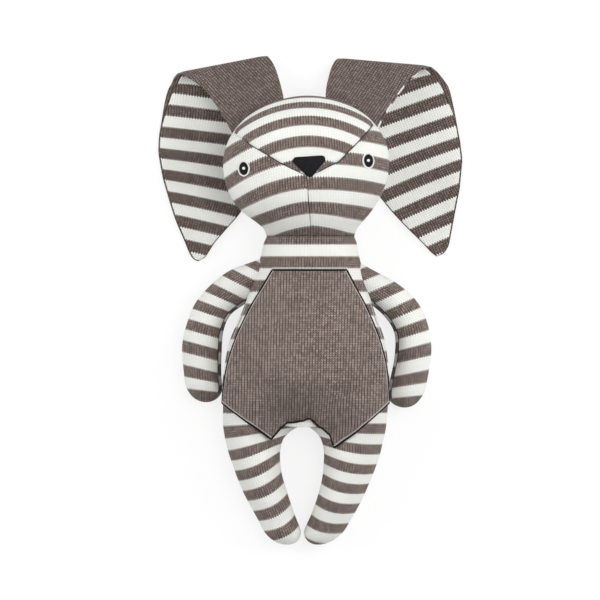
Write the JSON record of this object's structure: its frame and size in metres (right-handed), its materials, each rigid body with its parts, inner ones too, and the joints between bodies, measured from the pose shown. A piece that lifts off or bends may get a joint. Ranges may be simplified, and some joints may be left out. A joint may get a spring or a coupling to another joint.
{
  "type": "plush rabbit",
  "caption": "Knitted soft toy rabbit in striped yarn with a plain belly, long folded ears, stitched eyes and nose, and soft sewn joints at the neck, shoulders, hips and ears.",
  "frame": {"origin": "middle of the toy's box, on the surface that its back lies on", "axes": "+X towards the toy's own left side, +Y towards its ears, +Z the way its face looks"},
  "size_m": [0.2408, 0.3944, 0.0966],
  "materials": {
    "striped_knit": "taupe and off-white striped cotton knit",
    "taupe_knit": "plain taupe cotton knit",
    "white_thread": "off-white embroidery thread",
    "black_thread": "black embroidery thread",
    "filling": "loose polyester fibre"
  },
  "bodies": {
    "torso": {"torso_cover": "striped_knit", "belly_panel": "taupe_knit", "torso_filling": "filling"},
    "head": {"head_back_panel": "striped_knit", "head_forehead_panel": "striped_knit", "head_left_cheek_panel": "striped_knit", "head_right_cheek_panel": "striped_knit", "head_filling": "filling", "nose": "black_thread", "left_eye_ring": "white_thread", "left_eye_pupil": "black_thread", "left_eye_highlight": "white_thread", "right_eye_ring": "white_thread", "right_eye_pupil": "black_thread", "right_eye_highlight": "white_thread"},
    "left_ear": {"left_ear_outer": "taupe_knit", "left_ear_lining": "striped_knit"},
    "right_ear": {"right_ear_outer": "taupe_knit", "right_ear_lining": "striped_knit"},
    "left_arm": {"left_arm_cover": "striped_knit", "left_arm_filling": "filling"},
    "right_arm": {"right_arm_cover": "striped_knit", "right_arm_filling": "filling"},
    "left_leg": {"left_leg_cover": "striped_knit", "left_leg_filling": "filling"},
    "right_leg": {"right_leg_cover": "striped_knit", "right_leg_filling": "filling"}
  },
  "joints": [
    {"name": "neck_nod", "type": "hinge", "parent": "torso", "child": "head", "pos_m": [0.0019, 0.0499, 0.06], "axis": [1, 0, 0], "range_deg": [0, 35]},
    {"name": "left_ear_swing", "type": "hinge", "parent": "head", "child": "left_ear", "pos_m": [0.0049, 0.1629, 0.034], "axis": [0, 0, 1], "range_deg": [0, 25]},
    {"name": "right_ear_swing", "type": "hinge", "parent": "head", "child": "right_ear", "pos_m": [-0.0171, 0.1629, 0.034], "axis": [0, 0, -1], "range_deg": [0, 25]},
    {"name": "left_shoulder", "type": "hinge", "parent": "torso", "child": "left_arm", "pos_m": [0.0462, 0.0099, 0.033], "axis": [0.3111, -0.9504, 0], "range_deg": [0, 80]},
    {"name": "right_shoulder", "type": "hinge", "parent": "torso", "child": "right_arm", "pos_m": [-0.0448, 0.0099, 0.033], "axis": [0.36, 0.933, 0], "range_deg": [0, 80]},
    {"name": "left_hip", "type": "hinge", "parent": "torso", "child": "left_leg", "pos_m": [0.0368, -0.1201, 0.0495], "axis": [-1, 0, 0], "range_deg": [0, 75]},
    {"name": "right_hip", "type": "hinge", "parent": "torso", "child": "right_leg", "pos_m": [-0.0432, -0.1201, 0.0495], "axis": [-1, 0, 0], "range_deg": [0, 75]}
  ]
}
